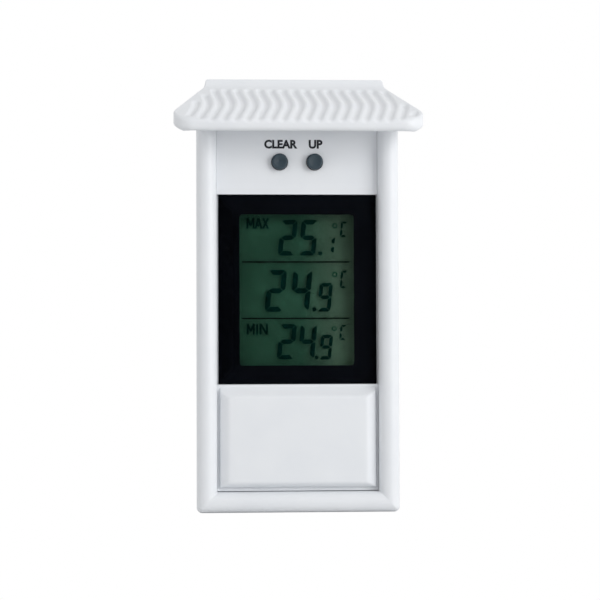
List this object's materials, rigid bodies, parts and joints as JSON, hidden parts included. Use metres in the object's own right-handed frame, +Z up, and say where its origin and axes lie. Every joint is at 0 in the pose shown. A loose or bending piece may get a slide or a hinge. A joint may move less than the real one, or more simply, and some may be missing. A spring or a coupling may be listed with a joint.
{
  "type": "maximum minimum thermometer",
  "caption": "Wall thermometer with a tiled hipped roof, half-round pillars, black-bordered LCD window, raised pad, round push buttons, rear battery door and keyhole.",
  "frame": {"origin": "middle of the overall box in X and Y, on the flat base in Z", "axes": "+Z up, the front faces -Y, +X is to the right of someone facing the display"},
  "size_m": [0.08, 0.036, 0.143],
  "materials": {
    "white_plastic": "semi-matt moulded white plastic",
    "button_plastic": "matt blue-grey",
    "window_clear": "clear, polished",
    "border_ink": "black print seen through the window",
    "tape_foam": "thin black adhesive foam",
    "polariser_film": "grey-green film",
    "display_glass": "thin clear glass with a slight green tint",
    "reflector_film": "dull grey-green film",
    "holder_plastic": "natural white plastic",
    "strip_rubber": "silicone rubber with carbon layers",
    "board_green": "green solder mask",
    "epoxy_black": "black epoxy",
    "can_steel": "tin-plated can",
    "chip_ceramic": "tan ceramic",
    "sensor_epoxy": "red-brown dipped epoxy bead",
    "plunger_plastic": "black",
    "switch_plastic": "black",
    "dome_steel": "thin sprung steel",
    "cell_sleeve": "printed sleeve",
    "nickel": "nickel-plated steel",
    "red_insulation": "red",
    "black_insulation": "black",
    "screw_steel": "zinc-plated"
  },
  "bodies": {
    "housing": {"frame": "white_plastic", "front_panel": "white_plastic", "roof": "white_plastic", "rear_cover": "white_plastic", "window_lens": "window_clear", "window_border": "border_ink", "window_tape": "tape_foam", "lcd_polariser": "polariser_film", "lcd_front_glass": "display_glass", "lcd_rear_glass": "display_glass", "lcd_reflector": "reflector_film", "lcd_holder": "holder_plastic", "contact_strips": "strip_rubber", "circuit_board": "board_green", "chip_cover": "epoxy_black", "clock_crystal": "can_steel", "board_parts": "chip_ceramic", "temperature_sensor": "sensor_epoxy", "clear_switch": "switch_plastic", "up_switch": "switch_plastic", "switch_domes": "dome_steel", "battery_cell": "cell_sleeve", "positive_contact": "nickel", "negative_contact": "nickel", "battery_spring": "nickel", "red_wire": "red_insulation", "black_wire": "black_insulation", "case_screws": "screw_steel", "board_screws": "screw_steel"},
    "clear_button": {"clear_button": "button_plastic", "clear_plunger": "plunger_plastic"},
    "up_button": {"up_button": "button_plastic", "up_plunger": "plunger_plastic"},
    "battery_door": {"battery_door": "white_plastic"}
  },
  "joints": [
    {"name": "clear_press", "type": "slide", "parent": "housing", "child": "clear_button", "axis": [0, 1, 0], "range_m": [0, 0.0006], "stiffness_N_per_m": 2500},
    {"name": "up_press", "type": "slide", "parent": "housing", "child": "up_button", "axis": [0, 1, 0], "range_m": [0, 0.0006], "stiffness_N_per_m": 2500},
    {"name": "battery_door_slide", "type": "slide", "parent": "housing", "child": "battery_door", "axis": [0, 0, -1], "range_m": [0, 0.028]}
  ]
}
